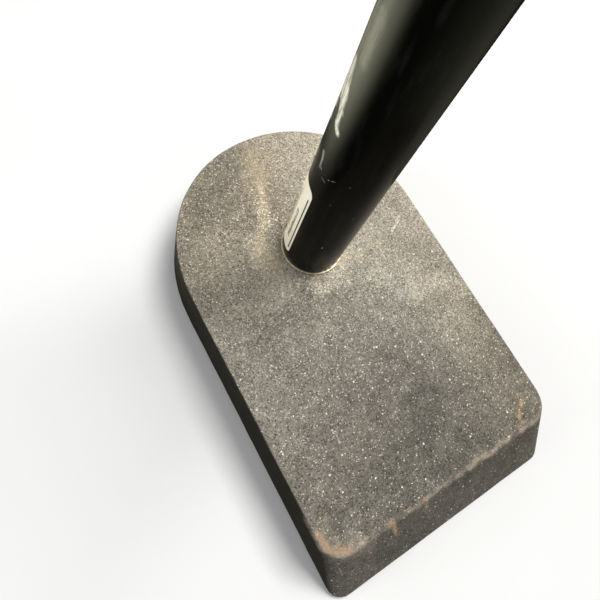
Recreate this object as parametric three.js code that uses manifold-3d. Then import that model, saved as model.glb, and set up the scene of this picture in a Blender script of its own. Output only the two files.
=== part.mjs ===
// A heavy trumpet stand: a tombstone-shaped cast-iron base with a sloped front end, and a plain one-inch tube
// that stands on it and reaches up into the instrument's bell, with a soft tip on its upper end. The tube
// unscrews from the base for carrying.
//
// Millimetres, +Z up, +Y towards the round end. The origin is the centre of the footprint, on the surface that
// the stand rests on. Inside the group "stand" the column's axis is x = y = 0 and the iron starts at z = 0.

import * as THREE from 'three';
import { mergeVertices } from 'three/addons/utils/BufferGeometryUtils.js';
import Module from 'manifold-3d';

const wasm = await Module();
wasm.setup();

// ---- driving dimensions ----

const columnRadius = 12.7; // one-inch tube
const tubeWall = 1.5;
const tubeLength = 215;

const baseThickness = 28;
const baseHalfWidth = 55; // of the top face, beside the column
const sideSpread = 0.0149; // the sides open by this much per millimetre towards the sloped end
const roundEndReach = 57.45; // from the column's axis to the round end of the top face
const roundness = 2.104; // exponent of the round end: 2 would be a true ellipse
const crestDistance = 110; // from the column's axis to where the top face turns down
const toeDistance = 129.06; // from the column's axis to the slope's foot, before the draft
const sideDraft = 1.84; // how much wider the casting is at the bottom, on each side
const toeCornerRadius = 7; // of the two corners at the sloped end, in plan, at the bottom
const crestCornerRadius = 10; // and at the top
const topEdgeRadius = 1.2;

const roofThickness = 8; // iron over the hollow underside
const wallThickness = 6;
const webThickness = 5;
const bossRadius = 16;
const footRadius = 7;
const footStandOut = 2; // rubber below the iron

const studRadius = 6; // M12 x 1.75
const studPitch = 1.75;
const studTurns = 8; // turns that take the stud out of the base
const fitGap = 0.3; // round pieces inside round holes
const seatGap = 0.1; // pieces stacked on one another

// ---- sizes that follow ----

const tubeBore = columnRadius - tubeWall;
const studEngagement = studPitch * studTurns;
const columnFromCentre = (toeDistance - roundEndReach) / 2;
const roofUnderside = baseThickness - roofThickness;
const washerThickness = 0.8;
const washerTop = baseThickness + seatGap + washerThickness;
const tubeBottom = washerTop + seatGap;
const tubeTop = tubeBottom + tubeLength;

const roundSteps = 56; // facets round a turned piece
const roundEndSteps = 40; // facets round the base's round end
const cornerSteps = 6;

// ---- materials ----

function finish(color, roughness, metalness) {
  return new THREE.MeshStandardMaterial({ color, roughness, metalness });
}

const castIron = finish('#4b4842', 0.85, 0.2); // textured black coating, grey with dust
const blackTube = finish('#101010', 0.3, 0.1);
const bareSteel = finish('#8d8f90', 0.35, 1);
const brass = finish('#b48a4a', 0.4, 1);
const blackRubber = finish('#161616', 0.9, 0);
const paper = finish('#dacdb1', 0.8, 0);
const whiteNylon = finish('#e4e1d8', 0.6, 0);
const darkFelt = finish('#1b1b1d', 1, 0);

// ---- helpers ----

function named(name, geometry, material) {
  const mesh = new THREE.Mesh(geometry, material);
  mesh.name = name;
  return mesh;
}

// A manifold-3d solid from a closed three.js geometry.
function solidOf(geometry) {
  const bare = geometry.clone();
  bare.deleteAttribute('normal');
  bare.deleteAttribute('uv');
  const merged = mergeVertices(bare, 1e-4);
  const vertProperties = new Float32Array(merged.attributes.position.array);
  const triVerts = new Uint32Array(merged.index.array);
  return new wasm.Manifold(new wasm.Mesh({ numProp: 3, vertProperties, triVerts }));
}

function geometryOf(solid) {
  const { vertProperties, triVerts } = solid.getMesh();
  const geometry = new THREE.BufferGeometry();
  geometry.setAttribute('position', new THREE.BufferAttribute(vertProperties, 3));
  geometry.setIndex(new THREE.BufferAttribute(triVerts, 1));
  geometry.computeVertexNormals();
  return geometry;
}

// A round piece about Z. The profile lists [radius, height] anticlockwise, with the radius to the right.
function turned(profile, facets = roundSteps) {
  const points = profile.map(([radius, height]) => new THREE.Vector2(radius, height));
  return new THREE.LatheGeometry(points, facets).rotateX(Math.PI / 2);
}

// A ring or tube between two radii and two heights.
function sleeve(innerRadius, outerRadius, bottom, top) {
  return turned([
    [innerRadius, bottom],
    [outerRadius, bottom],
    [outerRadius, top],
    [innerRadius, top],
    [innerRadius, bottom],
  ]);
}

function cylinder(radius, bottom, top, x = 0, y = 0) {
  const geometry = new THREE.CylinderGeometry(radius, radius, top - bottom, roundSteps);
  return geometry.rotateX(Math.PI / 2).translate(x, y, (top + bottom) / 2);
}

function block(width, depth, bottom, top) {
  return new THREE.BoxGeometry(width, depth, top - bottom).translate(0, 0, (top + bottom) / 2);
}

// A closed skin over matching rings of points, with each end closed by a fan about its middle.
function loft(rings) {
  const count = rings[0].length;
  const positions = [];
  const triangles = [];
  for (const point of rings.flat()) {
    positions.push(point.x, point.y, point.z);
  }
  for (let ring = 0; ring + 1 < rings.length; ring += 1) {
    for (let i = 0; i < count; i += 1) {
      const a = ring * count + i;
      const b = ring * count + (i + 1) % count;
      triangles.push(a, b, b + count, a, b + count, a + count);
    }
  }
  const ends = [[0, true], [rings.length - 1, false]];
  for (const [ring, facesBack] of ends) {
    const middle = new THREE.Vector3();
    rings[ring].forEach((point) => middle.addScaledVector(point, 1 / count));
    const hub = positions.push(middle.x, middle.y, middle.z) / 3 - 1;
    for (let i = 0; i < count; i += 1) {
      const a = ring * count + i;
      const b = ring * count + (i + 1) % count;
      triangles.push(hub, ...(facesBack ? [b, a] : [a, b]));
    }
  }
  const geometry = new THREE.BufferGeometry();
  geometry.setAttribute('position', new THREE.Float32BufferAttribute(positions, 3));
  geometry.setIndex(triangles);
  geometry.computeVertexNormals();
  return geometry;
}

// ---- the base ----

// The base's outline at one height: a superellipse round the column, straight sides and a straight front
// between two round corners. "grow" moves it outwards, and "front" is how far the straight end is.
function baseOutline(height, front, grow, cornerRadius) {
  const points = [];
  for (let i = 0; i <= roundEndSteps; i += 1) {
    const angle = Math.PI * i / roundEndSteps;
    const across = Math.cos(angle);
    const along = Math.sin(angle);
    const x = (baseHalfWidth + grow) * Math.sign(across) * Math.abs(across) ** (2 / roundness);
    const y = (roundEndReach + grow) * Math.abs(along) ** (2 / roundness);
    points.push(new THREE.Vector3(x, y, height));
  }
  const cornerY = cornerRadius - front;
  const cornerX = baseHalfWidth + grow - sideSpread * cornerY - cornerRadius;
  for (const side of [-1, 1]) {
    for (let i = 0; i <= cornerSteps; i += 1) {
      const turn = Math.PI / 2 * (side < 0 ? i : cornerSteps - i) / cornerSteps;
      const x = side * (cornerX + cornerRadius * Math.cos(turn));
      points.push(new THREE.Vector3(x, cornerY - cornerRadius * Math.sin(turn), height));
    }
  }
  return points;
}

// A wall under the slope is this many times as thick when it is measured level.
const slopeStretch = 1.25;

// The outline at a height of the drafted, sloped casting, or of a skin that lies "inset" inside it.
function castOutline(height, inset = 0) {
  const drop = 1 - height / baseThickness;
  const front = crestDistance + (toeDistance - crestDistance) * drop + sideDraft * drop;
  const cornerRadius = crestCornerRadius + (toeCornerRadius - crestCornerRadius) * drop;
  return baseOutline(height, front - inset * slopeStretch, sideDraft * drop - inset, cornerRadius);
}

// The outside of the casting, with a small round along the top edge.
function castingSkin() {
  const rings = [castOutline(0)];
  const edgeSteps = 3;
  for (let i = 0; i <= edgeSteps; i += 1) {
    const turn = Math.PI / 2 * i / edgeSteps;
    const height = baseThickness - topEdgeRadius * (1 - Math.sin(turn));
    rings.push(castOutline(height, topEdgeRadius * (1 - Math.cos(turn))));
  }
  return loft(rings);
}

// Middle of each rubber foot, [x, y] from the column's axis.
const footPlaces = [
  [-48.5, -118.5],
  [48.5, -118.5],
  [-31, 33],
  [31, 33],
];
const footRecessDepth = 1.5;

function basePlate() {
  const below = -1; // the cuts start a little under the iron
  const cavity = solidOf(loft([castOutline(below, wallThickness), castOutline(roofUnderside, wallThickness)]));
  const stiffeners = [
    block(webThickness, 2 * toeDistance, below, roofUnderside + 1),
    block(2.4 * baseHalfWidth, webThickness, below, roofUnderside + 1),
    cylinder(bossRadius, below, roofUnderside + 1),
    ...footPlaces.map(([x, y]) => cylinder(footRadius + 2.5, below, roofUnderside + 1, x, y)),
  ];
  const hollow = stiffeners.reduce((left, piece) => left.subtract(solidOf(piece)), cavity);
  const holes = [
    cylinder(studRadius + fitGap, below, baseThickness + 1),
    ...footPlaces.map(([x, y]) => cylinder(footRadius + fitGap, below, footRecessDepth, x, y)),
  ];
  const iron = holes.reduce((left, hole) => left.subtract(solidOf(hole)), solidOf(castingSkin()).subtract(hollow));
  return named('base_plate', geometryOf(iron), castIron);
}

// A rubber pad glued in its recess, with a rounded lower rim.
function rubberFoot(index) {
  const [x, y] = footPlaces[index];
  const rim = 0.8;
  const geometry = turned([
    [0, -footStandOut],
    [footRadius - rim, -footStandOut],
    [footRadius, rim - footStandOut],
    [footRadius, footRecessDepth - seatGap],
    [0, footRecessDepth - seatGap],
  ], 32);
  const foot = named(`rubber_foot_${index + 1}`, geometry, blackRubber);
  foot.position.set(x, y, 0);
  return foot;
}

// ---- the column ----

// The thin brass ring that the tube is tightened down on. It stands out a little all round.
function seatWasher() {
  const standOut = 0.55;
  const ring = sleeve(studRadius + fitGap, columnRadius + standOut, baseThickness + seatGap, washerTop);
  return named('seat_washer', ring, brass);
}

function columnTube() {
  return named('column_tube', sleeve(tubeBore, columnRadius, tubeBottom, tubeTop), blackTube);
}

// The steel plug fixed in the tube's lower end, with a blind hole for the stud.
const plugLength = 24;
const plugHoleDepth = 16;

function columnPlug() {
  const plug = turned([
    [studRadius + fitGap, tubeBottom],
    [tubeBore - fitGap, tubeBottom],
    [tubeBore - fitGap, tubeBottom + plugLength],
    [0, tubeBottom + plugLength],
    [0, tubeBottom + plugHoleDepth],
    [studRadius + fitGap, tubeBottom + plugHoleDepth],
    [studRadius + fitGap, tubeBottom],
  ]);
  return named('column_plug', plug, bareSteel);
}

// The threaded stud, drawn at its outside diameter, with a chamfer at its free end.
function columnStud() {
  const chamfer = 1.2;
  const bottom = baseThickness - studEngagement + washerThickness;
  const stud = turned([
    [0, bottom],
    [studRadius - chamfer, bottom],
    [studRadius, bottom + chamfer],
    [studRadius, tubeBottom + plugHoleDepth - seatGap],
    [0, tubeBottom + plugHoleDepth - seatGap],
  ]);
  return named('column_stud', stud, bareSteel);
}

// The paper label: a thin sheet wrapped round the tube, with rounded corners.
function productLabel() {
  const bottom = baseThickness + 6;
  const top = baseThickness + 53;
  const width = 25;
  const corner = 2.5;
  const inner = columnRadius + 0.05;
  const outer = inner + 0.15;
  const steps = 36;
  const rings = [];
  for (let i = 0; i <= steps; i += 1) {
    const along = width * i / steps;
    const intoCorner = Math.max(0, corner - Math.min(along, width - along));
    const trim = corner - Math.sqrt(corner ** 2 - intoCorner ** 2);
    const angle = Math.PI - (width - along) / columnRadius;
    const at = (radius, height) => (
      new THREE.Vector3(radius * Math.cos(angle), radius * Math.sin(angle), height)
    );
    rings.push([
      at(inner, bottom + trim),
      at(inner, top - trim),
      at(outer, top - trim),
      at(outer, bottom + trim),
    ]);
  }
  return named('product_label', loft(rings), paper);
}

// ---- the soft tip ----

const insertFlange = 2;
const coneBottom = tubeTop + seatGap + insertFlange + seatGap;
const coneHeight = 25;
const coneTop = coneBottom + coneHeight;
const coneTopRadius = 9.2;
const spigotRadius = 5;
const tipWasherThickness = 1;
const screwRadius = 2;

// The nylon insert that closes the tube and carries the cone on its spigot.
function tipInsert() {
  const depthInTube = 18;
  const flangeBottom = tubeTop + seatGap;
  const screwHoleDepth = 16;
  const spigotTop = coneTop - 2;
  const insert = turned([
    [0, flangeBottom - depthInTube],
    [tubeBore - fitGap, flangeBottom - depthInTube],
    [tubeBore - fitGap, flangeBottom],
    [columnRadius, flangeBottom],
    [columnRadius, flangeBottom + insertFlange],
    [spigotRadius, flangeBottom + insertFlange],
    [spigotRadius, spigotTop],
    [screwRadius + fitGap, spigotTop],
    [screwRadius + fitGap, spigotTop - screwHoleDepth],
    [0, spigotTop - screwHoleDepth],
  ]);
  return named('tip_insert', insert, whiteNylon);
}

// The tapered felt sleeve that the bell's throat comes to rest on.
function tipCone() {
  const bore = spigotRadius + fitGap;
  const shoulder = 4; // straight part above the tube
  const crown = 2.5; // rounding of the upper rim
  const lowerRadius = columnRadius + 0.6;
  const profile = [
    [bore, coneBottom],
    [lowerRadius - 0.6, coneBottom],
    [lowerRadius, coneBottom + 0.6],
    [lowerRadius, coneBottom + shoulder],
  ];
  const crownSteps = 4;
  for (let i = 0; i <= crownSteps; i += 1) {
    const turn = Math.PI / 2 * i / crownSteps;
    const radius = coneTopRadius - crown * (1 - Math.cos(turn));
    profile.push([radius, coneTop - crown * (1 - Math.sin(turn))]);
  }
  profile.push([bore, coneTop], [bore, coneBottom]);
  return named('tip_cone', turned(profile), darkFelt);
}

function tipWasher() {
  const bottom = coneTop + seatGap;
  const ring = sleeve(screwRadius + fitGap, coneTopRadius - 2.6, bottom, bottom + tipWasherThickness);
  return named('tip_washer', ring, bareSteel);
}

// A pan-head screw with a hexagon socket.
function tipScrew() {
  const headRadius = 3.6;
  const headHeight = 2.2;
  const shankLength = 17;
  const seat = coneTop + seatGap + tipWasherThickness + seatGap;
  const edge = 0.7;
  const screw = solidOf(turned([
    [0, seat - shankLength],
    [screwRadius, seat - shankLength],
    [screwRadius, seat],
    [headRadius, seat],
    [headRadius, seat + headHeight - edge],
    [headRadius - edge, seat + headHeight],
    [0, seat + headHeight],
  ], 36));
  const socketDepth = 1.4;
  const socketTop = seat + headHeight + 1;
  const socket = new THREE.CylinderGeometry(1.45, 1.45, socketDepth + 1, 6);
  socket.rotateX(Math.PI / 2).translate(0, 0, socketTop - (socketDepth + 1) / 2);
  return named('tip_screw', geometryOf(screw.subtract(solidOf(socket))), bareSteel);
}

// ---- the whole stand ----

const stand = new THREE.Group();
stand.position.set(0, columnFromCentre, footStandOut);
stand.add(
  basePlate(),
  ...footPlaces.map((_, index) => rubberFoot(index)),
  seatWasher(),
  columnTube(),
  columnPlug(),
  columnStud(),
  productLabel(),
  tipInsert(),
  tipCone(),
  tipWasher(),
  tipScrew(),
);

const trumpetStand = new THREE.Group();
trumpetStand.add(stand);

export default trumpetStand;
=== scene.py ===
"""A heavy trumpet stand: a dusty sand-cast base, a gloss black tube with a paper label, and a felt tip.

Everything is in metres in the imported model's frame. Marks and textures are placed in millimetres from the
column's foot, the point where the column's axis meets the base's top face.
"""

import math
import random

import bmesh
import bpy
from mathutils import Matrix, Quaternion, Vector, noise


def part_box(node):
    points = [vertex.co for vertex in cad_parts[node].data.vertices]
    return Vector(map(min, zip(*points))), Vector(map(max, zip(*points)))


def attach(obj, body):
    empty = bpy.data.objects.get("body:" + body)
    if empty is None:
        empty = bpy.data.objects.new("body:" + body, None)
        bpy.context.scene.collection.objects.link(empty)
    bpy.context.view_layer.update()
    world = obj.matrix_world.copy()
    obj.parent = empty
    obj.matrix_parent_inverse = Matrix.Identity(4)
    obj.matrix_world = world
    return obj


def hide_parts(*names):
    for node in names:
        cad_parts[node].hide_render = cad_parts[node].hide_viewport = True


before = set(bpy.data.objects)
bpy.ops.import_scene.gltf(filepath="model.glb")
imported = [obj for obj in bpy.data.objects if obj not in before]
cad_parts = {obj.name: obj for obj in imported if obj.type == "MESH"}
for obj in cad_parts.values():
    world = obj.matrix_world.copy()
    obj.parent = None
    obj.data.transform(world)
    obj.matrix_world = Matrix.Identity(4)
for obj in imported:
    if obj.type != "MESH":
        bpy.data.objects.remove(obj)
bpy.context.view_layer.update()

# ---- sizes read from the frame ----

MM = 0.001


def span(node):
    """A node's box as its lowest corner, highest corner and middle."""
    low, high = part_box(node)
    return low, high, (low + high) / 2


def round_span(node):
    """An upright round node's bottom, top, radius and middle."""
    low, high, middle = span(node)
    return low.z, high.z, (high.x - low.x) / 2, middle


IRON_LOW, IRON_HIGH, _ = span("base_plate")
TUBE_BOTTOM, TUBE_TOP, TUBE_RADIUS, TUBE_MIDDLE = round_span("column_tube")
FOOT_OF_COLUMN = Vector((TUBE_MIDDLE.x, TUBE_MIDDLE.y, IRON_HIGH.z))
MM_PER_RADIAN = TUBE_RADIUS / MM  # along the tube's surface
TUBE_WALL = 1.5 * MM


# ---- building meshes ----

def add_piece(name, mesh, body, slot, material, *nodes):
    """Puts a mesh into the scene: it rides on a body, stands for CAD nodes and wears a material."""
    piece = bpy.data.objects.new(name, mesh)
    bpy.context.scene.collection.objects.link(piece)
    for polygon in mesh.polygons:
        polygon.use_smooth = True
    mesh.materials.clear()
    mesh.materials.append(material)
    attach(piece, body)
    if nodes:
        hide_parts(*nodes)


def soften(corners, steps=4):
    """A profile whose corners (radius, height, rounding) are each rounded off with a short curve."""
    points = []
    count = len(corners)
    for i, (radius, height, rounding) in enumerate(corners):
        here = Vector((radius, height))
        if rounding == 0:
            points.append(here)
            continue
        before = Vector(corners[i - 1][:2])
        after = Vector(corners[(i + 1) % count][:2])
        start = here + (before - here).normalized() * rounding
        end = here + (after - here).normalized() * rounding
        for step in range(steps + 1):
            t = step / steps
            points.append(start * (1 - t) ** 2 + here * 2 * t * (1 - t) + end * t ** 2)
    return points


def turned(name, profile, facets, centre=FOOT_OF_COLUMN):
    """A closed round piece about a vertical axis.

    The profile's points (radius, height) run anticlockwise, with the radius to the right. They start and end
    on the axis, or else close on themselves.
    """
    on_axis = 1e-7
    shape = bmesh.new()
    rings = []
    for radius, height in profile:
        if radius < on_axis:
            rings.append([shape.verts.new((centre.x, centre.y, height))] * facets)
            continue
        ring = []
        for i in range(facets):
            angle = 2 * math.pi * i / facets
            place = (centre.x + radius * math.cos(angle), centre.y + radius * math.sin(angle), height)
            ring.append(shape.verts.new(place))
        rings.append(ring)
    pairs = list(zip(rings, rings[1:]))
    if profile[0][0] > on_axis:
        pairs.append((rings[-1], rings[0]))
    for lower, upper in pairs:
        for i in range(facets):
            j = (i + 1) % facets
            corners = list(dict.fromkeys((lower[i], lower[j], upper[j], upper[i])))
            if len(corners) > 2:
                shape.faces.new(corners)
    mesh = bpy.data.meshes.new(name)
    shape.to_mesh(mesh)
    shape.free()
    return mesh


def ring_profile(inner, outer, bottom, top, rounding):
    """The profile of a washer or tube with rounded edges."""
    return soften([
        (inner, bottom, rounding),
        (outer, bottom, rounding),
        (outer, top, rounding),
        (inner, top, rounding),
    ])


def subdivided(profile, step):
    """A closed profile with points added so that none is further than step from the next."""
    points = []
    for i, here in enumerate(profile):
        following = profile[(i + 1) % len(profile)]
        parts = max(1, math.ceil((following - here).length / step))
        points.extend(here.lerp(following, part / parts) for part in range(parts))
    return points


# ---- procedural materials ----

def with_alpha(color):
    """A plain colour gets an alpha of 1, and a socket stays as it is."""
    return color if isinstance(color, bpy.types.NodeSocket) else (*color, 1.0)


class Paint:
    """A node-based material. Each helper adds nodes and returns the socket that carries the result."""

    def __init__(self, name):
        self.material = bpy.data.materials.new(name)
        self.material.use_nodes = True
        self.tree = self.material.node_tree
        self.shader = self.tree.nodes["Principled BSDF"]

    def feed(self, socket, value):
        if isinstance(value, bpy.types.NodeSocket):
            self.tree.links.new(value, socket)
        elif value is not None:
            socket.default_value = value

    def node(self, kind, *values, **settings):
        made = self.tree.nodes.new("ShaderNode" + kind)
        for key, value in settings.items():
            setattr(made, key, value)
        for socket, value in zip(made.inputs, values):
            self.feed(socket, value)
        return made

    def math(self, operation, a, b=None, clamp=False):
        return self.node("Math", a, b, operation=operation, use_clamp=clamp).outputs[0]

    def times(self, a, b, clamp=False):
        return self.math("MULTIPLY", a, b, clamp)

    def combined(self, operation, values):
        """Several values put together by one operation, such as ADD, MULTIPLY or MAXIMUM."""
        result = values[0]
        for value in values[1:]:
            result = self.math(operation, result, value)
        return result

    def vector(self, operation, a, b=None):
        made = self.node("VectorMath", a, b, operation=operation)
        return made.outputs["Value" if operation in ("LENGTH", "DOT_PRODUCT") else "Vector"]

    def smooth(self, value, low, high, at_low=0.0, at_high=1.0):
        """A soft step from at_low, where the value is at low, to at_high, where it is at high."""
        made = self.node("MapRange", value, low, high, at_low, at_high, interpolation_type="SMOOTHSTEP")
        return made.outputs[0]

    def mix(self, amount, a, b):
        """Colour a where amount is 0, colour b where it is 1."""
        made = self.node("Mix", data_type="RGBA")
        factor, first, second = made.inputs["Factor"], made.inputs[6], made.inputs[7]
        self.feed(factor, amount)
        self.feed(first, with_alpha(a))
        self.feed(second, with_alpha(b))
        return made.outputs[2]

    def places(self):
        """Position in millimetres from the column's foot."""
        position = self.node("TexCoord").outputs["Object"]
        from_foot = self.vector("SUBTRACT", position, tuple(FOOT_OF_COLUMN))
        scaled = self.node("VectorMath", from_foot, operation="SCALE")
        scaled.inputs["Scale"].default_value = 1 / MM
        return scaled.outputs["Vector"]

    def plan(self, place):
        """A position with its height left out."""
        return self.vector("MULTIPLY", place, (1, 1, 0))

    def unrolled(self, place):
        """Position on the column's surface in millimetres: round it from -X towards +Y, and up it."""
        x, y, z = self.node("SeparateXYZ", place).outputs
        turn = self.math("ARCTAN2", y, self.times(x, -1.0))
        return self.node("CombineXYZ", self.times(turn, MM_PER_RADIAN), z).outputs[0]

    def texture(self, kind, place, grain, seed):
        """A texture node sampled once per grain, in millimetres, with each seed in a place of its own."""
        made = self.node(kind)
        elsewhere = (17.3 * seed, -9.1 * seed, 31.7 * seed)
        self.feed(made.inputs["Vector"], self.vector("ADD", place, elsewhere))
        self.feed(made.inputs["Scale"], 1 / grain)
        return made

    def noise(self, place, grain, detail=2.0, roughness=0.5, seed=0):
        """Smooth noise from 0 to 1 whose lumps are about one grain, in millimetres, apart."""
        made = self.texture("TexNoise", place, grain, seed)
        self.feed(made.inputs["Detail"], detail)
        self.feed(made.inputs["Roughness"], roughness)
        return made.outputs["Fac"]

    def grains(self, place, size, seed=0):
        """Random values from 0 to 1, three for every grain of the given size in millimetres."""
        made = self.texture("TexVoronoi", place, size, seed)
        return self.node("SeparateColor", made.outputs["Color"]).outputs

    def specks(self, place, spacing, share, size, seed=0):
        """Scattered round specks: a share of the cells of the given spacing holds one of radius size."""
        made = self.texture("TexVoronoi", place, spacing, seed)
        chosen = self.math("LESS_THAN", self.node("SeparateColor", made.outputs["Color"]).outputs[0], share)
        near = self.smooth(made.outputs["Distance"], size / spacing, 0.3 * size / spacing)
        return self.times(chosen, near)

    def streak(self, place, start, end, reach, core=0.0):
        """A mask along the line from start to end: 0 from reach outwards, 1 within core times the reach."""
        start = Vector((*start, 0))
        along = Vector((*end, 0)) - start
        offset = self.vector("SUBTRACT", place, tuple(start))
        share = self.vector("DOT_PRODUCT", offset, tuple(along / max(along.length_squared, 1e-6)))
        nearest = self.node("VectorMath", tuple(along), operation="SCALE")
        self.feed(nearest.inputs["Scale"], self.math("MAXIMUM", share, 0.0, clamp=True))
        gap = self.vector("LENGTH", self.vector("SUBTRACT", offset, nearest.outputs["Vector"]))
        return self.smooth(gap, reach, core * reach)

    def marks(self, place, rows, core=0.0, operation="MAXIMUM"):
        """One mask from rows of a streak's start, end, reach and, if it isn't 1, strength."""
        masks = []
        for start, end, reach, *strength in rows:
            mask = self.streak(place, start, end, reach, core)
            masks.append(self.times(mask, *strength) if strength else mask)
        return self.combined(operation, masks)

    def warped(self, place, amount, grain, seed=0):
        """A position pushed about by noise, by up to about amount millimetres, so that edges wander."""
        made = self.texture("TexNoise", place, grain, seed)
        centred = self.vector("SUBTRACT", made.outputs["Color"], (0.5, 0.5, 0.5))
        push = self.node("VectorMath", centred, operation="SCALE")
        push.inputs["Scale"].default_value = 4 * amount
        return self.vector("ADD", place, push.outputs["Vector"])

    def upward(self):
        """How far the surface faces up: 1 flat, 0 upright, -1 underneath."""
        normal = self.node("NewGeometry").outputs["True Normal"]
        return self.node("SeparateXYZ", normal).outputs[2]

    def finish(self, color, roughness, height=None, depth=0.1, **fixed):
        """Connects colour, roughness and a relief depth millimetres deep, and sets the fixed values."""
        self.feed(self.shader.inputs["Base Color"], with_alpha(color))
        self.feed(self.shader.inputs["Roughness"], roughness)
        for name, value in fixed.items():
            self.shader.inputs[name.replace("_", " ")].default_value = value
        if height is not None:
            bump = self.node("Bump")
            bump.inputs["Distance"].default_value = depth * MM
            self.feed(bump.inputs["Height"], height)
            self.feed(self.shader.inputs["Normal"], bump.outputs["Normal"])
        return self.material


# ---- the base ----

BLACK_COAT = (0.0065, 0.0062, 0.0056)
GREY_DUST = (0.60, 0.555, 0.46)
WARM_DUST = (0.62, 0.53, 0.395)
OCHRE_DUST = (0.66, 0.55, 0.35)
WHITE_GRAIN = (0.93, 0.89, 0.80)
GOLDEN_GRAIN = (0.92, 0.74, 0.46)
WORN_BROWN = (0.52, 0.43, 0.34)
RUST = (0.52, 0.34, 0.20)

# Marks on the top face and the slope, each a streak's start, end and reach in millimetres in plan from the
# column's foot. Patches also say what they add to the cover of dust and painted light, and scratches their
# strength. Some patches lighten the top where the column's shadow falls: painted light that fills in the
# cast shadow. Patches with a negative amount make the top darker.
OCHRE_STREAKS = (
    ((-3.5, 46), (-6, 35), 9),
    ((-6, 35), (-10, 24), 4.5),
    ((-19, 0), (-18, 12), 7),
    ((12, -12), (18, -15), 4),
)
DUST_AND_SHADOW_FILL_PATCHES = (
    ((52, -45), (44, -39), 9, 0.13),
    ((44, -39), (31, -38), 8, 0.15),
    ((-14, 12), (-8, 30), 12, 0.05),
    ((-42, 18), (-30, 4), 17, 0.17),
    # painted light: this row and the next lighten the top where the column's shadow falls
    ((-22, -8), (-18, 6), 14, 0.20),
    ((-50, -16), (-12, -8), 15, 0.22),
    ((-50, -30), (-47, -85), 18, 0.09),
    ((-30, -35), (-24, -75), 14, 0.05),
    ((36, -60), (46, -96), 18, 0.10),
    ((-34, 36), (-18, 48), 16, -0.12),
    ((-46, 26), (-46, 16), 10, -0.09),
    # painted light: lightens the top where the column's shadow falls
    ((-14, -9), (-18, 2), 7, 0.16),
    ((-26, -28), (-16, -34), 9, 0.07),
    ((45, -52), (45, -64), 6, 0.10),
    ((38, -18), (50, -34), 14, -0.10),
    ((36, 2), (46, 4), 12, -0.09),
    ((10, -27), (18, -36), 9, -0.09),
    ((24, -42), (28, -48), 9, -0.12),
    ((0, -56), (8, -58), 12, -0.08),
    ((-18, -62), (-10, -66), 15, -0.04),
    ((2, -84), (8, -80), 16, -0.09),
    ((-14, -92), (-6, -90), 13, -0.06),
)
CRUMBS = (
    ((12, -10), (17, -13), 5),
    ((10, -13), (-6, -17), 7),
    ((-20, -8), (-21, 12), 9),
    ((-14, 16), (-6, 34), 4),
    ((15, 2), (16, -6), 4),
)
FINE_SCRATCHES = (
    ((44.3, -4.7), (42.4, -6.8), 0.8, 1.0),
    ((42.4, -6.8), (37.1, -9.5), 0.7, 1.0),
    ((-32, -70), (-31, -72.5), 0.35, 0.5),
    ((-31, -72.5), (-31.6, -75.5), 0.35, 0.4),
    ((-53, -114), (-52.4, -118), 0.4, 0.2),
    ((-49, -119), (-46, -118.5), 0.4, 0.2),
)
RUST_SPOTS = (
    ((-29, -110), (-27, -116), 2.2),
    ((47, -100), (41, -105), 1.8),
    ((-55, -98), (-54, -104), 1.8),
    ((-53, -106), (-48, -109), 2.6),
    ((-12.8, -110), (-12.2, -114), 1.7),
    ((26.6, -12), (27.4, -12.5), 2.0),
)
WORN_PATCHES = (
    ((-54, -98), (-52, -106), 6),
    ((-52, -107), (-42, -111), 8),
    ((10, -109), (50, -109), 2.5),
    ((14, -108.5), (22, -109.5), 4),
)
CREST_DISTANCE = 110  # from the column to the edge where the top face turns down
CORNER_RADIUS = 10
HALF_WIDTH_AT_CREST = 56.5


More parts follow.
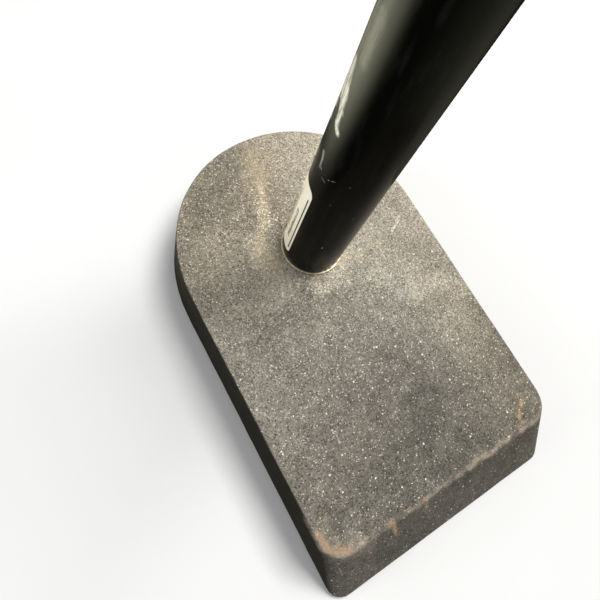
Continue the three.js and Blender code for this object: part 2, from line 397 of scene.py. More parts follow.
class IronPaint(Paint):
    """Sand-textured black coating under dust: the fields that its layers share, and one method per layer."""

    def __init__(self):
        super().__init__("dusty_cast_iron")
        self.place = self.places()
        self.x, self.y, self.z = self.node("SeparateXYZ", self.place).outputs

        # the place in plan: as it is, and pushed about so that marks get cloudy or jagged edges
        self.flat = self.plan(self.place)
        self.cloudy = self.warped(self.flat, 2.5, 8, seed=3)
        self.jagged = self.warped(self.flat, 0.5, 2, seed=4)

        # unevenness, from the largest to the single grains of sand
        self.mottle = self.noise(self.flat, 5, detail=4, roughness=0.6, seed=2)
        self.coarse = self.noise(self.place, 1.5, detail=2, roughness=0.6, seed=6)
        self.fine, self.pit, _ = self.grains(self.place, 0.42, seed=5)

        # where dust can settle, a mask that also paints in the sheen that makes the top paler than the black
        # sides, and where it is crumbly or ochre
        self.facing_up = self.upward()
        self.dust_and_sheen_on_top = self.smooth(self.facing_up, 0.1, 0.8, 0.05, 1.0)
        self.crumbs = self.marks(self.cloudy, CRUMBS)
        self.ochre = self.marks(self.cloudy, OCHRE_STREAKS)

    def dust_and_painted_light(self):
        """How pale the top is, dust and painted light together: more towards the round end, as dust and a
        painted sheen, more on the right, as painted light from that side, and a share for every grain.
        """
        clouds = self.noise(self.flat, 26, detail=3, seed=1)
        # painted light: the top is paler on the right, as if lit from that side
        light_from_the_right = self.smooth(self.x, -10.0, 25.0)
        cover = self.combined("ADD", [
            self.smooth(self.y, -118.0, 5.0, 0.28, 0.48),
            self.smooth(self.y, 15.0, 52.0, 0.0, 0.02),
            self.times(light_from_the_right, self.smooth(self.y, -90.0, 5.0, 0.0, 0.32)),
            self.smooth(clouds, 0.3, 0.7, -0.04, 0.04),
            self.smooth(self.mottle, 0.3, 0.7, -0.05, 0.05),
            self.times(self.crumbs, 0.25),
            self.marks(self.cloudy, DUST_AND_SHADOW_FILL_PATCHES, operation="ADD"),
        ])
        per_grain = self.combined("MULTIPLY", [
            self.node("MapRange", self.fine, 0.0, 1.0, 0.65, 1.35).outputs[0],
            self.smooth(self.pit, 0.82, 0.96, 1.0, 0.35),
            self.smooth(self.coarse, 0.3, 0.7, 0.84, 1.16),
            self.dust_and_sheen_on_top,
        ])
        return self.times(cover, per_grain, clamp=True)

    def dusty(self, cover):
        """The coating's colour under its dust and painted light, which is warmer at the back and on the
        right.
        """
        warm = self.combined("MAXIMUM", [
            self.smooth(self.y, -40.0, 20.0, 0.0, 0.6),
            self.smooth(self.x, 18.0, 45.0, 0.0, 0.5),
            self.streak(self.cloudy, (-8, 22), (0, 48), 30),
        ])
        color = self.mix(cover, BLACK_COAT, self.mix(warm, GREY_DUST, WARM_DUST))
        golden = self.times(self.ochre, self.smooth(self.fine, 0.0, 1.0, 0.18, 0.42))
        return self.mix(self.times(golden, self.dust_and_sheen_on_top), color, OCHRE_DUST)

    def crest_distance(self):
        """Distance in plan from the crest, which runs along the front edge and round its two corners."""
        x, y, _ = self.node("SeparateXYZ", self.jagged).outputs
        beyond_x = self.math("SUBTRACT", self.math("ABSOLUTE", x), HALF_WIDTH_AT_CREST - CORNER_RADIUS)
        beyond_y = self.math("SUBTRACT", self.times(y, -1.0), CREST_DISTANCE - CORNER_RADIUS)
        beyond_x = self.math("MAXIMUM", beyond_x, 0.0)
        beyond_y = self.math("MAXIMUM", beyond_y, 0.0)
        corner = self.node("CombineXYZ", beyond_x, beyond_y).outputs[0]
        from_corner = self.math("SUBTRACT", self.vector("LENGTH", corner), float(CORNER_RADIUS))
        return self.math("ABSOLUTE", from_corner)

    def wear(self):
        """Where the coating is worn off: along the front edge and in patches beside it."""
        edge = self.combined("MULTIPLY", [
            self.smooth(self.crest_distance(), 2.1, 0.1),
            self.smooth(self.z, -7.0, -2.0),
            self.smooth(self.y, -88.0, -98.0),
        ])
        patches = self.times(self.marks(self.cloudy, WORN_PATCHES), self.dust_and_sheen_on_top)
        worn = self.math("ADD", edge, self.times(patches, 0.8))
        worn = self.times(worn, self.smooth(self.mottle, 0.35, 0.65, 0.2, 0.7))
        return self.times(worn, self.smooth(self.fine, 0.0, 1.0, 0.45, 1.0), clamp=True)

    def rust(self):
        spots = self.marks(self.jagged, RUST_SPOTS)
        return self.times(spots, self.smooth(self.coarse, 0.34, 0.58, 0.15, 0.95))

    def scratches(self):
        lines = self.marks(self.flat, FINE_SCRATCHES, core=0.3)
        return self.times(lines, self.smooth(self.fine, 0.1, 0.7, 0.25, 0.9))

    def grains_and_glints(self, cover):
        """A mask of small bright grains, partly dust grains and partly painted glints where the sand catches
        the light, most where dust lies thickest, and a few larger ones, and their colour.
        """
        chance, hue, strength = self.grains(self.place, 0.40, seed=11)
        small = self.math("GREATER_THAN", chance, self.combined("ADD", [
            1.02,
            self.smooth(self.y, -75.0, -35.0, 0.0, -0.03),
            self.times(cover, -0.20),
            self.times(self.crumbs, -0.30),
        ]))
        small = self.times(small, self.smooth(strength, 0.2, 1.0, 0.12, 0.95))
        chance, _, _ = self.grains(self.place, 0.62, seed=12)
        large = self.math("GREATER_THAN", chance, self.combined("ADD", [
            0.9992,
            self.times(cover, -0.006),
            self.times(self.crumbs, -0.10),
        ]))
        on_top = self.smooth(self.facing_up, 0.3, 0.6, 0.0, 0.95)
        mask = self.times(self.math("MAXIMUM", small, large), on_top)
        share = self.combined("ADD", [0.25, self.ochre, self.crumbs])
        golden = self.times(self.smooth(hue, 0.2, 0.8), share, clamp=True)
        return mask, self.mix(golden, WHITE_GRAIN, GOLDEN_GRAIN)


def iron_material():
    paint = IronPaint()
    cover = paint.dust_and_painted_light()
    color = paint.dusty(cover)
    color = paint.mix(paint.wear(), color, WORN_BROWN)
    color = paint.mix(paint.rust(), color, RUST)
    color = paint.mix(paint.scratches(), color, WHITE_GRAIN)
    bright, bright_color = paint.grains_and_glints(cover)
    color = paint.mix(bright, color, bright_color)
    height = paint.math("ADD", paint.times(paint.fine, 0.35), paint.times(paint.coarse, 0.8))
    roughness = paint.smooth(cover, 0.0, 0.5, 0.7, 0.95)
    return paint.finish(color, roughness, height, depth=0.26, Specular_IOR_Level=0.1)


def casting():
    """The base as cast: every edge and inside corner softened, the skin slightly uneven and sandy.

    The unevenness goes mostly inwards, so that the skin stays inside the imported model's.
    """
    voxel = 0.8 * MM
    source = bpy.data.objects.new("casting_source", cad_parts["base_plate"].data.copy())
    bpy.context.scene.collection.objects.link(source)
    remesh = source.modifiers.new("remesh", "REMESH")
    remesh.mode = "VOXEL"
    remesh.voxel_size = voxel
    smooth = source.modifiers.new("smooth", "SMOOTH")
    smooth.factor = 0.5
    smooth.iterations = 3
    evaluated = source.evaluated_get(bpy.context.evaluated_depsgraph_get())
    mesh = bpy.data.meshes.new_from_object(evaluated)
    bpy.data.objects.remove(source)
    mesh.name = "casting"
    wave_height = 0.10 * MM
    wave_length = 14 * MM
    sand_height = 0.05 * MM
    sand_length = 1.3 * MM
    inwards = 0.6
    moved = []
    for vertex in mesh.vertices:
        wave = wave_height * (noise.noise(vertex.co / wave_length) - inwards)
        sand = sand_height * (noise.noise(vertex.co / sand_length) - inwards)
        moved.append(vertex.co + vertex.normal * (wave + sand))
    for vertex, place in zip(mesh.vertices, moved):
        vertex.co = place
        vertex.co.z = max(place.z, IRON_LOW.z)
    return mesh


# ---- rubber feet ----

BLACK_RUBBER = (0.014, 0.014, 0.014)
DUSTY_RUBBER = (0.045, 0.042, 0.038)


def rubber_material():
    paint = Paint("foot_rubber")
    place = paint.places()
    mottle = paint.noise(place, 3, detail=4)
    grain = paint.noise(place, 0.3, detail=2)
    color = paint.mix(paint.smooth(mottle, 0.4, 0.7), BLACK_RUBBER, DUSTY_RUBBER)
    return paint.finish(color, paint.smooth(mottle, 0.3, 0.7, 0.7, 0.9), grain, depth=0.04)


def foot_mesh(node):
    """A rubber pad with a round lower rim and a shallow cup in its sole."""
    bottom, top, radius, middle = round_span(node)
    cup_depth = 0.25 * MM
    rim_height = 1.2 * MM
    profile = soften([
        (0, bottom + cup_depth, 0),
        (radius * 0.55, bottom + cup_depth, 0.4 * MM),
        (radius * 0.70, bottom, 0.4 * MM),
        (radius * 0.93, bottom, 0.5 * MM),
        (radius, bottom + rim_height, 0.5 * MM),
        (radius, top, 0.2 * MM),
        (0, top, 0),
    ])
    return turned(node, profile, facets=64, centre=middle)


# ---- the column ----

POLISHED_BRASS = (0.95, 0.84, 0.62)
TARNISHED_BRASS = (0.66, 0.48, 0.28)
BRASS_SIDE_SHADE = (0.05, 0.04, 0.03)
BRIGHT_ZINC = (0.62, 0.62, 0.60)
DULL_ZINC = (0.42, 0.41, 0.38)


def brass_material():
    """Brass with patchy tarnish, bright on top and darkened round its side by painted shade."""
    paint = Paint("dull_brass")
    place = paint.places()
    tarnish = paint.noise(place, 1.8, detail=4, roughness=0.65)
    fine = paint.noise(place, 0.35, detail=2, seed=1)
    color = paint.mix(paint.smooth(tarnish, 0.42, 0.66), POLISHED_BRASS, TARNISHED_BRASS)
    # painted shade: the ring's upright side is darkened as if shade fell on it
    shaded_side = paint.smooth(paint.upward(), 0.7, 0.2, 0.0, 0.8)
    color = paint.mix(shaded_side, color, BRASS_SIDE_SHADE)
    roughness = paint.smooth(tarnish, 0.3, 0.7, 0.35, 0.6)
    return paint.finish(color, roughness, fine, depth=0.03, Metallic=0.6)


def steel_material():
    """Zinc-plated steel, turned, with faint rings and dull patches."""
    paint = Paint("plated_steel")
    place = paint.places()
    rings = paint.noise(paint.vector("MULTIPLY", place, (0.05, 0.05, 4.0)), 1.0, detail=3)
    dull = paint.noise(place, 4, detail=4, seed=1)
    color = paint.mix(paint.smooth(dull, 0.4, 0.7), BRIGHT_ZINC, DULL_ZINC)
    roughness = paint.smooth(dull, 0.3, 0.7, 0.28, 0.5)
    return paint.finish(color, roughness, rings, depth=0.02, Metallic=1.0)


ENAMEL = (0.0022, 0.0022, 0.0017)
SMEAR = (0.3, 0.29, 0.26)
TUBE_DUST = (0.5, 0.48, 0.42)
BARE_CHIP = (0.52, 0.53, 0.50)
PAINTED_HIGHLIGHT = (0.90, 0.86, 0.73)

# Marks on the tube, each a streak's start, end and reach in millimetres, and for the painted highlights a
# strength: cream streaks that stand for reflections broken up on the gloss. A place is how far round it
# lies, from the -X side towards +Y, and how high.
TUBE_PAINTED_HIGHLIGHTS = (
    ((7.6, 103), (5.6, 97), 2.4, 0.7),
    ((5.6, 97), (4.2, 90), 2.2, 1.0),
    ((4.2, 90), (2.8, 84.5), 1.6, 1.0),
    ((3.6, 85.5), (1.8, 83.8), 1.6, 0.9),
    ((9.4, 100), (7.6, 92), 2.2, 0.8),
    ((4.0, 119), (3.5, 108), 3.4, 0.09),
    ((4.0, 72), (3.1, 69.5), 1.0, 0.35),
    ((3.0, 68), (2.7, 66), 0.9, 0.3),
    ((10.4, 93), (8.8, 87), 1.4, 0.8),
    ((10.4, 85), (9.0, 81.0), 1.2, 0.9),
)
TUBE_CHIPS = (
    ((3.6, 69), (2.8, 67), 0.35),
    ((2.0, 66.5), (1.6, 66), 0.3),
    ((6.2, 79.8), (6.2, 79.8), 0.28),
    ((2.2, 78), (2.2, 78), 0.28),
    ((0.0, 63.7), (-1.6, 64), 0.22),
    ((-2.4, 66), (-4.5, 68), 0.25),
    ((-9.3, 69.2), (-9.3, 69.0), 0.3),
    ((-11.2, 27), (-11.2, 26.4), 0.55),
    ((-15.9, 51.5), (-15.9, 51.5), 0.4),
    ((-6.6, 56.5), (-6.6, 56.3), 0.3),
)


def tube_material():
    """Gloss black enamel, slightly rippled, with painted highlight streaks, small chips and dust."""
    paint = Paint("black_enamel")
    place = paint.places()
    surface = paint.unrolled(place)
    ripple = paint.noise(surface, 9, detail=1, seed=1)
    peel = paint.noise(surface, 1.4, detail=2, seed=2)
    smear = paint.noise(paint.vector("MULTIPLY", surface, (1.0, 0.15, 1.0)), 2.2, detail=4, seed=3)

    wandering = paint.warped(surface, 0.35, 2.5, seed=4)
    highlight_breakup = paint.noise(paint.vector("MULTIPLY", surface, (1.6, 0.22, 1.0)), 1.0, detail=4, seed=5)
    # painted highlights: cream streaks painted where the gloss shows broken reflections
    painted_highlights = paint.marks(wandering, TUBE_PAINTED_HIGHLIGHTS, core=0.25)
    painted_highlights = paint.times(painted_highlights, paint.smooth(highlight_breakup, 0.3, 0.55, 0.4, 1.0))
    chips = paint.marks(wandering, TUBE_CHIPS, core=0.2)
    dust = paint.specks(place, 3.5, 0.06, 0.14, seed=6)

    color = paint.mix(paint.smooth(smear, 0.5, 0.8, 0.0, 0.02), ENAMEL, SMEAR)
    color = paint.mix(paint.times(dust, 0.5), color, TUBE_DUST)
    color = paint.mix(paint.times(chips, 0.4), color, BARE_CHIP)
    color = paint.mix(paint.times(painted_highlights, 0.92), color, PAINTED_HIGHLIGHT)
    roughness = paint.smooth(smear, 0.35, 0.75, 0.2, 0.22)
    roughness = paint.math("MAXIMUM", roughness, paint.times(painted_highlights, 0.45))
    height = paint.math("ADD", paint.times(ripple, 0.4), paint.times(peel, 0.08))
    return paint.finish(color, roughness, height, depth=0.05, Specular_IOR_Level=0.06)


# The label in millimetres, across from its edge on the -X side and up from the column's foot.
LABEL_LOW, LABEL_HIGH, _ = span("product_label")
LABEL_BOTTOM = (LABEL_LOW.z - IRON_HIGH.z) / MM
LABEL_TOP = (LABEL_HIGH.z - IRON_HIGH.z) / MM
LABEL_WIDTH = 25.0
LABEL_CORNER = 2.5
RULE_INSET = 1.3
RULE_HALF_WIDTH = 0.36
RULE_HEIGHTS = (9.0, 48.0)
FRAME_SIDES = (15.0, 22.2)
FRAME_HEIGHTS = (29.5, 46.5)
FRAME_LINE = 0.3
DASH_HALF_LENGTH = 0.9

# Each column of dashes: its middle, its lowest and highest end, its pitch and the inked share of the pitch.
DASH_COLUMNS = (
    (4.4, (14.0, 36.0), 1.5, 0.8),
    (8.0, (12.0, 46.0), 1.7, 0.6),
    (10.1, (12.0, 39.0), 1.7, 0.6),
    (12.2, (12.0, 32.0), 1.7, 0.6),
)

PAPER = (0.92, 0.86, 0.70)
STAINED_PAPER = (0.82, 0.74, 0.57)
INK = (0.01, 0.01, 0.01)


def label_material():
    """Off-white paper with a rule beside each edge, and plain dashes and a frame in place of its print."""
    paint = Paint("label_paper")
    place = paint.places()
    surface = paint.unrolled(place)
    across, up, _ = paint.node("SeparateXYZ", surface).outputs
    fibre = paint.noise(place, 0.4, detail=3)
    stain = paint.noise(place, 9, detail=3, seed=1)

    def band(value, low, high):
        """1 between two values and 0 outside them, with soft edges."""
        half = (high - low) / 2
        soft = 0.06
        off = paint.math("ABSOLUTE", paint.math("SUBTRACT", value, (low + high) / 2))
        return paint.smooth(off, half + soft, half - soft)

    def box(sides, heights):
        return paint.times(band(across, *sides), band(up, *heights))

    def dashes(middle, heights, pitch, filled, seed):
        """A column of short dashes, some of them missing."""
        step = paint.math("FRACT", paint.math("DIVIDE", up, pitch))
        printed = paint.math("GREATER_THAN", paint.noise(surface, 1.1, detail=0, seed=seed), 0.38)
        drawn = paint.times(paint.smooth(step, filled, filled - 0.12), printed)
        sides = (middle - DASH_HALF_LENGTH, middle + DASH_HALF_LENGTH)
        return paint.times(drawn, box(sides, heights))

    rules = [
        box((middle - RULE_HALF_WIDTH, middle + RULE_HALF_WIDTH), RULE_HEIGHTS)
        for middle in (RULE_INSET, LABEL_WIDTH - RULE_INSET)
    ]
    columns = [dashes(*column, seed) for seed, column in enumerate(DASH_COLUMNS, start=2)]
    inner_sides = (FRAME_SIDES[0] + FRAME_LINE, FRAME_SIDES[1] - FRAME_LINE)
    inner_heights = (FRAME_HEIGHTS[0] + FRAME_LINE, FRAME_HEIGHTS[1] - FRAME_LINE)
    outline = paint.math(
        "SUBTRACT", box(FRAME_SIDES, FRAME_HEIGHTS), box(inner_sides, inner_heights), clamp=True
    )
    ink = paint.combined("MAXIMUM", [*rules, *columns, outline])
    ink = paint.times(ink, paint.smooth(fibre, 0.2, 0.5, 0.85, 1.0))

    color = paint.mix(paint.smooth(stain, 0.35, 0.75), PAPER, STAINED_PAPER)
    color = paint.mix(ink, color, INK)
    return paint.finish(color, 0.55, fibre, depth=0.02)


def label_mesh():
    """A thin sheet wrapped round the tube, with round corners and its free edge just lifting."""
    columns = 100
    rows = 60
    thickness = 0.1 * MM
    glue = 0.03 * MM
    curl = 0.15 * MM
    curl_width = 0.9  # mm
    ripple = 0.03 * MM
    ripple_width = 5  # mm
    shape = bmesh.new()
    grid = []
    for i in range(columns + 1):
        along = LABEL_WIDTH * i / columns
        into_corner = max(0.0, LABEL_CORNER - min(along, LABEL_WIDTH - along))
        trim = LABEL_CORNER - math.sqrt(LABEL_CORNER ** 2 - into_corner ** 2)
        angle = math.pi - along / MM_PER_RADIAN
        lift = curl * math.exp(-along / curl_width)
        line = []
        for j in range(rows + 1):
            height = LABEL_BOTTOM + trim + (LABEL_TOP - LABEL_BOTTOM - 2 * trim) * j / rows
            wave = ripple * noise.noise(Vector((along, height, 0)) / ripple_width)
            radius = TUBE_RADIUS + glue + thickness + lift + max(wave, 0)
            line.append(shape.verts.new((
                FOOT_OF_COLUMN.x + radius * math.cos(angle),
                FOOT_OF_COLUMN.y + radius * math.sin(angle),
                FOOT_OF_COLUMN.z + height * MM,
            )))
        grid.append(line)
    for left, right in zip(grid, grid[1:]):
        for j in range(rows):
            shape.faces.new((left[j], left[j + 1], right[j + 1], right[j]))
    shape.normal_update()
    mesh = bpy.data.meshes.new("paper_label")
    bmesh.ops.solidify(shape, geom=shape.faces[:], thickness=thickness)
    shape.to_mesh(mesh)
    shape.free()
    return mesh


def thread_cut(phase):
    """The share of a thread's depth that is cut away, from one crest (phase 0) to the next (1)."""
    steepness = 1.35
    crest = 0.1
    return min(1.0, max(0.0, steepness * (1 - abs(2 * phase - 1)) - crest))


def stud_mesh():
    """The M12 stud with its thread cut as one right-hand helix and a chamfer at each end."""
    bottom, top, major, middle = round_span("column_stud")
    pitch = 1.75 * MM
    depth = 0.61 * pitch
    end_radius = major - 1.1 * depth
    facets = 48
    rings_per_turn = 10
    ring_count = round((top - bottom) / pitch * rings_per_turn)
    shape = bmesh.new()
    rings = []
    for k in range(ring_count + 1):
        height = bottom + (top - bottom) * k / ring_count
        chamfer = end_radius + min(height - bottom, top - height)
        ring = []
        for i in range(facets):
            angle = 2 * math.pi * i / facets
            phase = (height / pitch - i / facets) % 1
            radius = min(chamfer, major - depth * thread_cut(phase))
            place = (middle.x + radius * math.cos(angle), middle.y + radius * math.sin(angle), height)
            ring.append(shape.verts.new(place))
        rings.append(ring)
    for lower, upper in zip(rings, rings[1:]):
        for i in range(facets):
            j = (i + 1) % facets
            shape.faces.new((lower[i], lower[j], upper[j], upper[i]))
    shape.faces.new(reversed(rings[0]))
    shape.faces.new(rings[-1])
    mesh = bpy.data.meshes.new("threaded_stud")
    shape.to_mesh(mesh)
    shape.free()
    return mesh


# ---- the soft tip ----

CLEAN_NYLON = (0.78, 0.76, 0.70)
YELLOWED_NYLON = (0.66, 0.63, 0.56)
FELT_PAINTED_SHADE = (0.005, 0.005, 0.006)
FELT_WOOL = (0.050, 0.048, 0.048)
FELT_CLUMP = (0.012, 0.012, 0.013)
PALE_FIBRE = (0.20, 0.19, 0.18)
CONE_RIM_HEIGHT = 4.0 * MM  # the cone tapers above it
CONE_TOP_RADIUS = 9.2 * MM


def nylon_material():
    paint = Paint("white_nylon")
    place = paint.places()
    cloud = paint.noise(place, 5, detail=3)
    fine = paint.noise(place, 0.5, detail=2, seed=1)
    color = paint.mix(paint.smooth(cloud, 0.3, 0.7), CLEAN_NYLON, YELLOWED_NYLON)
    return paint.finish(color, 0.45, fine, depth=0.02)


def felt_material():
    """Dark pressed wool felt: matted fibres with painted shade in their hollows, a few pale ones, and a soft
    sheen.
    """
    paint = Paint("dark_felt")
    place = paint.places()
    matted = paint.noise(paint.warped(place, 0.6, 1.6), 0.8, detail=6, roughness=0.75)
    clumps = paint.noise(place, 3.0, detail=3, seed=1)
    pale = paint.noise(paint.warped(place, 0.9, 2.0, seed=2), 0.5, detail=3, seed=3)
    # painted shade: the felt is darker where its matted relief is low
    color = paint.mix(paint.smooth(matted, 0.36, 0.64), FELT_PAINTED_SHADE, FELT_WOOL)
    color = paint.mix(paint.smooth(clumps, 0.42, 0.64, 0.0, 0.6), color, FELT_CLUMP)
    color = paint.mix(paint.smooth(pale, 0.60, 0.68, 0.0, 0.5), color, PALE_FIBRE)
    height = paint.math("ADD", matted, paint.times(clumps, 0.8))
    return paint.finish(color, 1.0, height, depth=0.9, Sheen_Weight=0.1, Sheen_Roughness=0.5)


def cone_mesh():
    """The felt cone, a little lumpy, with rounded rims."""
    bottom, top, radius, middle = round_span("tip_cone")
    hole = 5.3 * MM
    lump = 0.16 * MM
    profile = soften([
        (hole, bottom, 0.2 * MM),
        (radius - lump, bottom, 1.0 * MM),
        (radius - lump, bottom + CONE_RIM_HEIGHT, 1.4 * MM),
        (CONE_TOP_RADIUS, top, 2.4 * MM),
        (hole, top, 0.3 * MM),
    ], steps=6)
    mesh = turned("felt_cone", subdivided(profile, 0.7 * MM), facets=150)
    axis = Vector((middle.x, middle.y, 0))
    for vertex in mesh.vertices:
        outward = Vector((vertex.co.x, vertex.co.y, 0)) - axis
        if outward.length > hole + 0.5 * MM:
            large = noise.noise(vertex.co / (3 * MM))
            small = noise.noise(vertex.co / (0.9 * MM))
            vertex.co += outward.normalized() * lump * (0.6 * large + 0.3 * small)
    return mesh


def add_fibre(curve, root, outward, along):
    """One loose fibre that leaves its root outwards, runs along the felt and arches off it."""
    rise = 0.25 * MM
    arch = 0.45 * MM
    steps = 3
    spline = curve.splines.new("POLY")
    spline.points.add(steps)
    for k, point in enumerate(spline.points):
        t = k / steps
        off = outward * (rise + arch * math.sin(math.pi * t)) * min(1, 2 * t)
        point.co = (*(root + off + along * t), 1)


def felt_fibres():
    """Short loose fibres standing off the cone's side."""
    bottom, top, radius, middle = round_span("tip_cone")
    chance = random.Random(7)
    count = 1400
    bottom_radius = radius - 0.45 * MM
    top_radius = CONE_TOP_RADIUS - 0.35 * MM
    taper_from = bottom + CONE_RIM_HEIGHT
    curve = bpy.data.curves.new("felt_fibres", "CURVE")
    curve.dimensions = "3D"
    curve.bevel_depth = 0.03 * MM
    curve.bevel_resolution = 0
    curve.use_fill_caps = True
    for _ in range(count):
        height = chance.uniform(bottom + 0.6 * MM, top - 1.5 * MM)
        taper = max(0.0, (height - taper_from) / (top - taper_from))
        root_radius = bottom_radius + (top_radius - bottom_radius) * taper
        angle = chance.uniform(0, 2 * math.pi)
        outward = Vector((math.cos(angle), math.sin(angle), 0))
        sideways = Vector((-math.sin(angle), math.cos(angle), 0))
        root = Vector((middle.x, middle.y, height)) + outward * root_radius
        lean = sideways * chance.uniform(-1, 1) + Vector((0, 0, chance.uniform(-1, 1)))
        length = chance.uniform(0.7, 1.9) * MM
        add_fibre(curve, root, outward, lean.normalized() * length)
    source = bpy.data.objects.new("felt_fibres", curve)
    mesh = bpy.data.meshes.new_from_object(source)
    bpy.data.objects.remove(source)
    return mesh


# ---- putting the object together ----

def dress_node(node, material):
    """A CAD node that stays as it is and gets a finished material and softened edges."""
    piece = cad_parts[node]
    piece.data.materials.clear()
    piece.data.materials.append(material)
    bevel = piece.modifiers.new("bevel", "BEVEL")
    bevel.width = 0.15 * MM
    bevel.segments = 2
    bevel.limit_method = "ANGLE"
    bevel.angle_limit = math.radians(40)


def build_base():
    iron = iron_material()
    add_piece("base_casting", casting(), "base", "cast_base", iron, "base_plate")
    rubber = rubber_material()
    for index in range(1, 5):
        node = f"rubber_foot_{index}"
        add_piece(f"foot_pad_{index}", foot_mesh(node), "base", "rubber", rubber, node)


def build_column():
    bottom, top, radius, _ = round_span("seat_washer")
    stud_hole = 6.3 * MM
    profile = ring_profile(stud_hole, radius, bottom, top, 0.2 * MM)
    washer = turned("brass_ring", profile, facets=128)
    add_piece("brass_ring", washer, "washer", "brass_ring", brass_material(), "seat_washer")

    profile = ring_profile(TUBE_RADIUS - TUBE_WALL, TUBE_RADIUS, TUBE_BOTTOM, TUBE_TOP, 0.25 * MM)
    tube = turned("enamelled_tube", subdivided(profile, 12 * MM), facets=192)
    add_piece("enamelled_tube", tube, "column", "black_tube", tube_material(), "column_tube")
    add_piece("paper_label", label_mesh(), "column", "label_paper", label_material(), "product_label")

    steel = steel_material()
    dress_node("column_plug", steel)
    add_piece("threaded_stud", stud_mesh(), "column", "bare_steel", steel, "column_stud")
    build_tip(steel)


def insert_profile(screw_hole):
    """The insert's half section: a plug in the tube, a flange over its end and a spigot with a screw hole."""
    low, high, _ = span("tip_insert")
    cone_low, _, _ = span("tip_cone")
    gap = 0.1 * MM
    flange_bottom = TUBE_TOP + gap
    flange_top = cone_low.z - gap
    plug_radius = TUBE_RADIUS - TUBE_WALL - 0.3 * MM
    spigot_radius = 5.0 * MM
    hole_bottom = high.z - 16 * MM
    return soften([
        (0, low.z, 0),
        (plug_radius, low.z, 0.5 * MM),
        (plug_radius, flange_bottom, 0),
        (TUBE_RADIUS, flange_bottom, 0.2 * MM),
        (TUBE_RADIUS, flange_top, 0.3 * MM),
        (spigot_radius, flange_top, 0.2 * MM),
        (spigot_radius, high.z, 0.2 * MM),
        (screw_hole, high.z, 0.2 * MM),
        (screw_hole, hole_bottom, 0),
        (0, hole_bottom, 0),
    ])


def build_tip(steel):
    screw_hole = 2.3 * MM
    insert = turned("nylon_insert", insert_profile(screw_hole), facets=128)
    add_piece("nylon_insert", insert, "column", "white_nylon", nylon_material(), "tip_insert")
    felt = felt_material()
    add_piece("felt_cone", cone_mesh(), "column", "dark_felt", felt, "tip_cone")
    add_piece("felt_fibres", felt_fibres(), "column", "dark_felt", felt)
    bottom, top, radius, _ = round_span("tip_washer")
    profile = ring_profile(screw_hole, radius, bottom, top, 0.2 * MM)
    washer = turned("top_washer", profile, facets=96)
    add_piece("top_washer", washer, "column", "bare_steel", steel, "tip_washer")
    dress_node("tip_screw", steel)


# ---- floor, light and camera ----

# A white floor would turn the black tube grey, so what it mirrors is a dark floor with these soft pools of
# light on it: middle and reach in millimetres in plan from the column's foot, and brightness.
MIRRORED_POOLS = (
    ((-162, 154), 168, 8.0),
    ((-12, 195), 125, 1.6),
    ((100, -355), 400, 0.95),
)
POOL_LIGHT = (1.0, 1.0, 0.74)
POOL_CORE = 0.25
FLOOR_SHADE = (0.91, 0.91, 0.91)
FLOOR_WHITE = (0.93, 0.93, 0.93)
BACKDROP = (0.93, 0.93, 0.93)
FADE_START = 300.0  # millimetres from the column, where the floor starts to fade into the backdrop
FADE_END = 600.0
WARM_WHITE = (1.0, 0.99, 0.96)
COOL_WHITE = (0.95, 0.97, 1.0)


def floor_material():
    """Pale and matt, fading into the backdrop far off; to what mirrors it, pools of light on a dark floor."""
    paint = Paint("pale_floor")
    place = paint.plan(paint.places())
    shade = paint.noise(place, 90, detail=2)
    pale = paint.mix(paint.smooth(shade, 0.3, 0.7), FLOOR_SHADE, FLOOR_WHITE)
    paint.finish(pale, 0.9, Specular_IOR_Level=0.1)

    pools = [
        paint.times(paint.streak(place, middle, middle, reach, POOL_CORE), strength)
        for middle, reach, strength in MIRRORED_POOLS
    ]
    brightness = paint.combined("ADD", [paint.smooth(shade, 0.0, 1.0, 0.01, 0.03), *pools])
    mirrored = paint.node("Emission", with_alpha(POOL_LIGHT), brightness)
    ray = paint.node("LightPath").outputs
    near = paint.node("MixShader", ray["Is Glossy Ray"], paint.shader.outputs[0], mirrored.outputs[0])

    far = paint.times(
        paint.smooth(paint.vector("LENGTH", place), FADE_START, FADE_END), ray["Is Camera Ray"]
    )
    backdrop = paint.node("Emission", with_alpha(BACKDROP), 1.0)
    choice = paint.node("MixShader", far, near.outputs[0], backdrop.outputs[0])
    paint.feed(paint.tree.nodes["Material Output"].inputs["Surface"], choice.outputs[0])
    return paint.material


def build_floor():
    half_width = 4.0
    shape = bmesh.new()
    bmesh.ops.create_grid(shape, x_segments=1, y_segments=1, size=half_width)
    mesh = bpy.data.meshes.new("floor")
    shape.to_mesh(mesh)
    shape.free()
    floor = bpy.data.objects.new("floor", mesh)
    bpy.context.scene.collection.objects.link(floor)
    mesh.materials.append(floor_material())


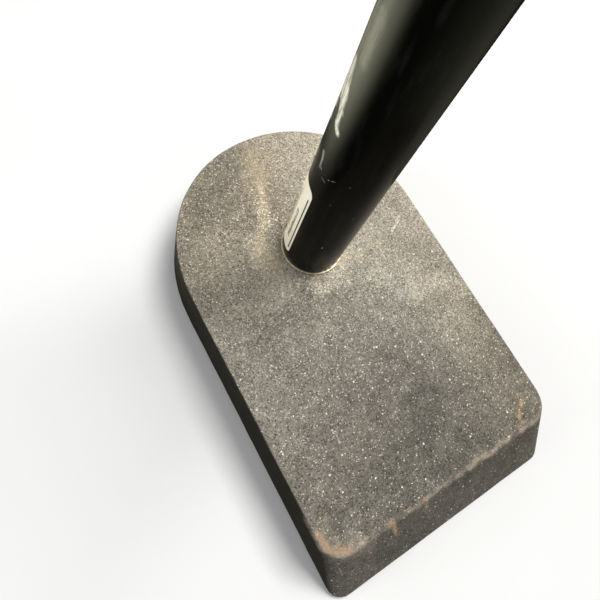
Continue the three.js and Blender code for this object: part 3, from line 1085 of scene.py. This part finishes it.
def add_softbox(name, offset, size, power, color):
    """A square light at an offset from the column's foot and aimed at it, with its power in watts."""
    data = bpy.data.lights.new(name, "AREA")
    data.shape = "SQUARE"
    data.size = size
    data.energy = power
    data.color = color
    light = bpy.data.objects.new(name, data)
    bpy.context.scene.collection.objects.link(light)
    light.location = FOOT_OF_COLUMN + Vector(offset)
    light.rotation_mode = "QUATERNION"
    light.rotation_quaternion = (-Vector(offset)).to_track_quat("-Z", "Y")


def build_light():
    """A softbox high on the right, a large one overhead, a low one on the left, and a dim surround."""
    add_softbox("key", (0.40, 0.08, 1.0), 0.45, 10.2, WARM_WHITE)
    add_softbox("overhead", (0.0, 0.0, 1.2), 1.4, 2.3, WARM_WHITE)
    add_softbox("left", (-0.8, 0.2, 0.20), 0.5, 3.1, (1.0, 1.0, 1.0))
    world = bpy.data.worlds.new("surround")
    bpy.context.scene.world = world
    world.use_nodes = True
    tree = world.node_tree
    seen = tree.nodes["Background"]
    seen.inputs["Color"].default_value = with_alpha(BACKDROP)
    lighting = tree.nodes.new("ShaderNodeBackground")
    lighting.inputs["Color"].default_value = with_alpha(COOL_WHITE)
    lighting.inputs["Strength"].default_value = 0.2
    choice = tree.nodes.new("ShaderNodeMixShader")
    path = tree.nodes.new("ShaderNodeLightPath")
    tree.links.new(path.outputs["Is Camera Ray"], choice.inputs["Fac"])
    tree.links.new(lighting.outputs[0], choice.inputs[1])
    tree.links.new(seen.outputs[0], choice.inputs[2])
    tree.links.new(choice.outputs[0], tree.nodes["World Output"].inputs["Surface"])
    settings = bpy.context.scene.view_settings
    settings.view_transform = "Standard"
    settings.look = "None"


def build_camera():
    """A phone camera held beside the column, looking steeply down at its foot and turned in the hand."""
    data = bpy.data.cameras.new("camera")
    data.sensor_width = 36.0
    data.lens = 30.03
    data.clip_start = 0.005
    camera = bpy.data.objects.new("camera", data)
    bpy.context.scene.collection.objects.link(camera)
    place = FOOT_OF_COLUMN + Vector((-80.62, -52.86, 191.99)) * MM
    target = FOOT_OF_COLUMN + Vector((-16.60, -18.68, 0)) * MM
    roll = math.radians(33.52)
    camera.location = place
    camera.rotation_mode = "QUATERNION"
    level = (target - place).to_track_quat("-Z", "Y")
    camera.rotation_quaternion = level @ Quaternion((0, 0, 1), roll)
    bpy.context.scene.camera = camera


build_base()
build_column()
build_floor()
build_light()
build_camera()
